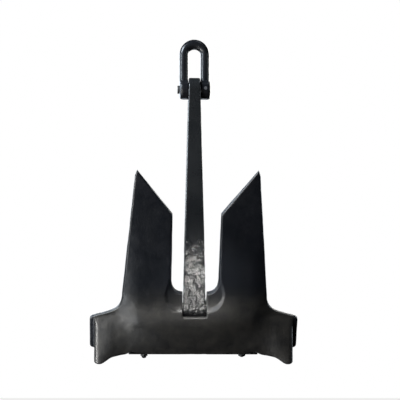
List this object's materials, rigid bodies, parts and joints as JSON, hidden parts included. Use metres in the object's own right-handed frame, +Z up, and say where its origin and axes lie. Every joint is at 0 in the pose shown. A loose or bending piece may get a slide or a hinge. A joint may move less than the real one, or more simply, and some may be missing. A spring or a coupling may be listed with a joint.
{
  "type": "stockless anchor",
  "caption": "High-holding-power stockless anchor with two broad flukes, flared palms, tapered shank and a bow shackle, hanging with its head tipped to the stop.",
  "frame": {"origin": "bearing point inside the crown of the shackle's bow, where the chain's link pulls", "axes": "+Z up along the shank towards the chain, +X across the head, -Y to the front, where the head is tipped"},
  "size_m": [0.88, 0.5831, 1.3955],
  "materials": {
    "head_paint": "satin black bituminous anchor paint over cast steel, worn on its edges",
    "shank_paint": "satin black paint over forged steel, rough and lumpy towards the foot",
    "shackle_paint": "glossier black paint over forged steel",
    "pin_steel": "black painted steel, worn at the ends",
    "keeper_steel": "black painted steel block",
    "lead": "dull grey peened lead"
  },
  "bodies": {
    "shackle": {"shackle_bow": "shackle_paint", "shackle_pin": "pin_steel", "lock_pin": "pin_steel", "lead_plug_front": "lead", "lead_plug_back": "lead"},
    "shank": {"shank": "shank_paint"},
    "head": {"anchor_head": "head_paint", "crown_pin": "pin_steel", "keeper_left": "keeper_steel", "keeper_right": "keeper_steel", "keeper_stud_left": "pin_steel", "keeper_stud_right": "pin_steel", "keeper_nut_left": "pin_steel", "keeper_nut_right": "pin_steel"}
  },
  "joints": [
    {"name": "shackle_pivot", "type": "hinge", "parent": "shackle", "child": "shank", "pos_m": [0, 0, -0.1775], "axis": [1, 0, 0], "range_deg": [-90, 90]},
    {"name": "crown_pivot", "type": "hinge", "parent": "shank", "child": "head", "pos_m": [0, 0, -1.1175], "axis": [1, 0, 0], "range_deg": [-70, 0]}
  ]
}
